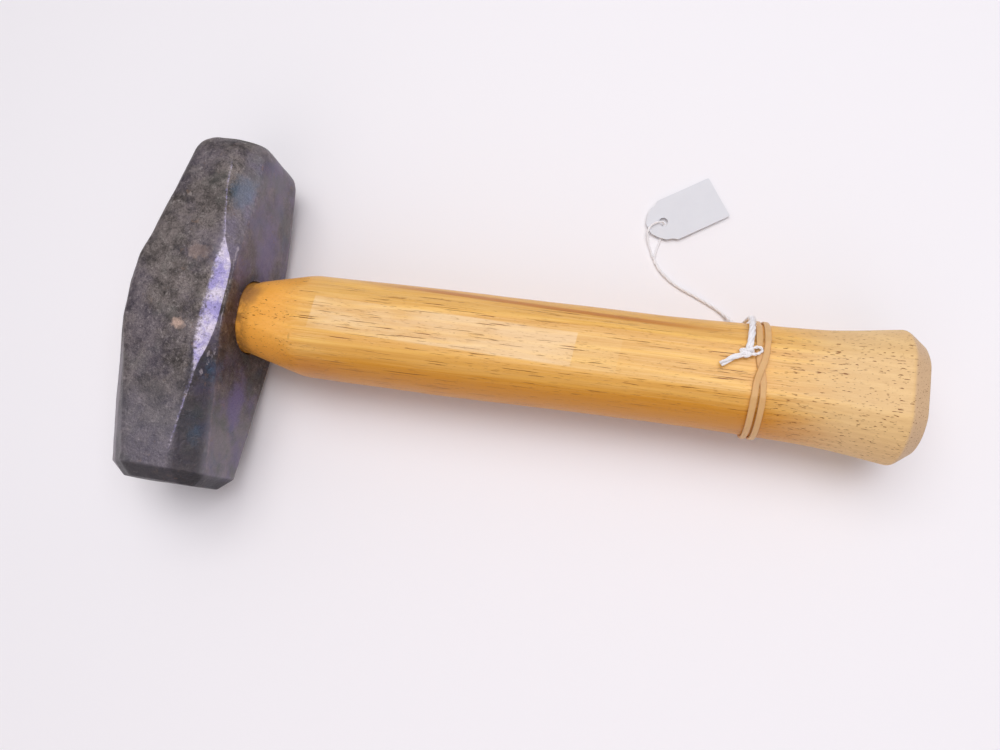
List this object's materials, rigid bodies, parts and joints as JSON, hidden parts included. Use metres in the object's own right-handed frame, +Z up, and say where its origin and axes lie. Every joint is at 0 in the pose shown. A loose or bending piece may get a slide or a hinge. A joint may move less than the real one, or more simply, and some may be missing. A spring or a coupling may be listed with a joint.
{
  "type": "lump hammer",
  "caption": "Short-handled lump hammer lying on its side: double-faced forged steel head, hickory handle, rubber band, string and blank card price tag.",
  "frame": {"origin": "on the lower cheek of the head, under the point where the axes of the head and the handle cross", "axes": "+Z up from the surface that the hammer lies on, +X along the handle towards its butt, +Y along the head from one striking face to the other"},
  "size_m": [0.265, 0.1442, 0.048],
  "materials": {
    "forged_steel": "dark mottled patina over forged and ground steel, with a violet and blue sheen",
    "hickory": "honey-coloured lacquer over open-pored hickory, bare towards the butt",
    "wedge_wood": "bare hardwood",
    "wedge_steel": "plain steel",
    "band_rubber": "matt tan natural rubber",
    "tag_card": "smooth white card with nothing written on it",
    "string": "soft twisted white cotton"
  },
  "bodies": {
    "hammer": {"head": "forged_steel", "handle": "hickory", "wooden_wedge": "wedge_wood", "steel_wedge_left": "wedge_steel", "steel_wedge_right": "wedge_steel", "rubber_band": "band_rubber", "tag_string": "string", "string_loop": "string", "string_tail": "string", "string_knot": "string"},
    "tag": {"price_tag": "tag_card"}
  },
  "joints": [
    {"name": "tag_swivel", "type": "hinge", "parent": "hammer", "child": "tag", "pos_m": [0.1616, 0.0617, 0.0014], "axis": [0, 0, 1], "range_deg": [-35, 35]}
  ]
}
